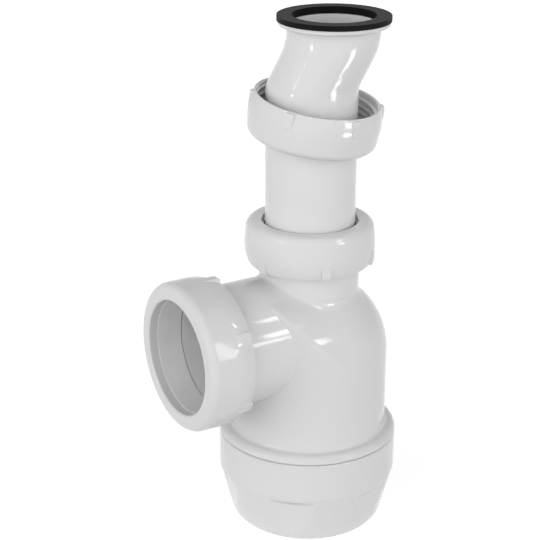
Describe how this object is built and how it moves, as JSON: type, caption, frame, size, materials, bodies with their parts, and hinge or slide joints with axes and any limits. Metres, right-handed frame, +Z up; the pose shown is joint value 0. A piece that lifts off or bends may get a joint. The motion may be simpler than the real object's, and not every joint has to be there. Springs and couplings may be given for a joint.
{
  "type": "bottle trap",
  "caption": "Bottle trap for a washbasin: cranked telescopic inlet tube with union nuts and washer, domed flask with a side outlet branch, and a screw-on bottom cup.",
  "frame": {"origin": "centre of the cup's flat underside, on the trap's vertical axis", "axes": "+Z up along the trap's axis, -X out of the outlet branch"},
  "size_m": [0.0872, 0.065, 0.1883],
  "materials": {
    "white_plastic": "smooth glossy white moulding",
    "slip_plastic": "smooth white low-friction ring",
    "black_rubber": "satin black rubber",
    "grey_rubber": "soft pale grey rubber"
  },
  "bodies": {
    "flask": {"trap_body": "white_plastic", "outlet_seal": "grey_rubber"},
    "cup_ring": {"cup_seal": "black_rubber"},
    "bottom_cup": {"cup": "white_plastic"},
    "neck_ring": {"neck_slip_ring": "slip_plastic"},
    "neck_union": {"neck_nut": "white_plastic"},
    "swivel": {"neck_seal": "black_rubber"},
    "inlet": {"inlet_tube": "white_plastic", "inlet_gasket": "black_rubber"},
    "inlet_union": {"inlet_nut": "white_plastic"},
    "outlet_ring": {"outlet_slip_ring": "slip_plastic"},
    "outlet_union": {"outlet_nut": "white_plastic"}
  },
  "joints": [
    {"name": "cup_travel", "type": "slide", "parent": "flask", "child": "cup_ring", "axis": [0, 0, -1], "range_m": [0, 0.012]},
    {"name": "cup_turn", "type": "hinge", "parent": "cup_ring", "child": "bottom_cup", "pos_m": [0, 0, 0.02], "axis": [0, 0, -1], "range_deg": [0, 1081]},
    {"name": "neck_nut_travel", "type": "slide", "parent": "flask", "child": "neck_ring", "axis": [0, 0, 1], "range_m": [0, 0.0092]},
    {"name": "neck_nut_turn", "type": "hinge", "parent": "neck_ring", "child": "neck_union", "pos_m": [0, 0, 0.108], "axis": [0, 0, 1], "range_deg": [0, 1440]},
    {"name": "inlet_swivel", "type": "hinge", "parent": "flask", "child": "swivel", "pos_m": [0, 0, 0.11], "axis": [0, 0, 1], "continuous": true},
    {"name": "inlet_slide", "type": "slide", "parent": "swivel", "child": "inlet", "axis": [0, 0, 1], "range_m": [-0.015, 0.05]},
    {"name": "inlet_nut_turn", "type": "hinge", "parent": "inlet", "child": "inlet_union", "pos_m": [0, 0, 0.14621], "axis": [0.0858, -0.139, 0.9866], "continuous": true},
    {"name": "outlet_nut_travel", "type": "slide", "parent": "flask", "child": "outlet_ring", "axis": [-1, 0, 0], "range_m": [0, 0.0092]},
    {"name": "outlet_nut_turn", "type": "hinge", "parent": "outlet_ring", "child": "outlet_union", "pos_m": [-0.045, 0, 0.07457], "axis": [-1, 0, 0], "range_deg": [0, 1440]}
  ],
  "couplings": [
    {"joint": "cup_turn", "follows": "cup_travel", "rad_per_m": 1570.8},
    {"joint": "neck_nut_turn", "follows": "neck_nut_travel", "rad_per_m": 2721.2},
    {"joint": "outlet_nut_turn", "follows": "outlet_nut_travel", "rad_per_m": 2721.2}
  ]
}
